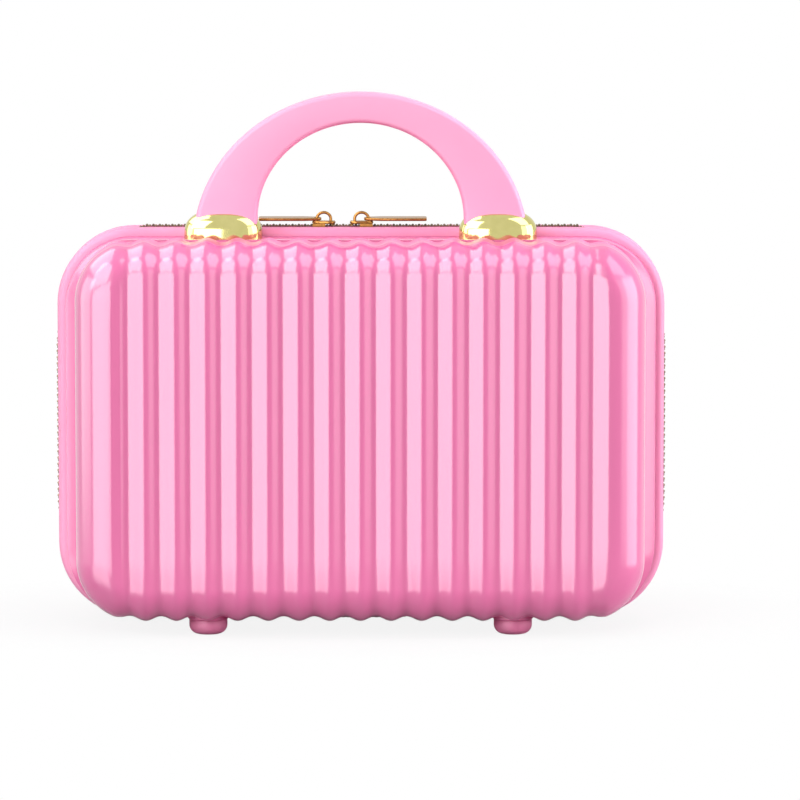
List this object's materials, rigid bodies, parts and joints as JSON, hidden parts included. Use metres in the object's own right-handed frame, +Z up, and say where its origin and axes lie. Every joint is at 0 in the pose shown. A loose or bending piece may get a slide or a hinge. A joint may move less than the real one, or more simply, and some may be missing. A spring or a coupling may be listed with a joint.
{
  "type": "makeup train case",
  "caption": "Ribbed hard-shell makeup train case that opens as a clamshell on a sewn bottom hinge, with zip sliders, an arched carry handle and feet.",
  "frame": {"origin": "floor level under the middle of the closed case, on the plane where the halves meet", "axes": "+X to the right as seen from the front, +Y from the front to the back, +Z up"},
  "size_m": [0.2988, 0.14, 0.2613],
  "materials": {
    "shell": "glossy moulded",
    "piping": "satin",
    "tape": "woven",
    "teeth": "antique",
    "lining": "plain weave",
    "binding": "ribbed",
    "feet": "satin",
    "handle": "satin moulded",
    "gold": "polished",
    "steel": "zinc plated"
  },
  "bodies": {
    "rear_half": {"rear_shell": "shell", "rear_piping": "piping", "rear_zipper_tape": "tape", "rear_zipper_chain": "teeth", "rear_end_stops": "teeth", "rear_lining": "lining", "rear_binding": "binding", "rear_feet": "feet", "rear_foot_screws": "steel", "hinge_strip": "tape", "retainer_strap": "binding", "strap_anchors": "binding"},
    "front_half": {"front_shell": "shell", "front_piping": "piping", "front_zipper_tape": "tape", "front_zipper_chain": "teeth", "front_end_stops": "teeth", "front_lining": "lining", "front_binding": "binding", "front_feet": "feet", "front_foot_screws": "steel", "handle_grip": "handle", "handle_caps": "gold", "handle_plates": "steel", "handle_screws": "steel", "lid_pocket": "lining", "lid_pocket_elastic": "binding"},
    "slider_left": {"slider_left": "gold"},
    "slider_right": {"slider_right": "gold"},
    "pull_left": {"pull_left": "gold"},
    "pull_right": {"pull_right": "gold"}
  },
  "joints": [
    {"name": "lid_hinge", "type": "hinge", "parent": "rear_half", "child": "front_half", "pos_m": [0, 0, 0.0015], "axis": [1, 0, 0], "range_deg": [0, 165], "deforming": ["hinge_strip"]},
    {"name": "slider_left_slide", "type": "slide", "parent": "rear_half", "child": "slider_left", "axis": [-1, 0, 0], "range_m": [0, 0.08]},
    {"name": "slider_right_slide", "type": "slide", "parent": "rear_half", "child": "slider_right", "axis": [1, 0, 0], "range_m": [0, 0.1]},
    {"name": "pull_left_swing", "type": "hinge", "parent": "slider_left", "child": "pull_left", "pos_m": [-0.0182, 0, 0.1982], "axis": [0, 1, 0], "range_deg": [0, 100]},
    {"name": "pull_right_swing", "type": "hinge", "parent": "slider_right", "child": "pull_right", "pos_m": [0.0003, 0, 0.1982], "axis": [0, -1, 0], "range_deg": [0, 100]}
  ]
}
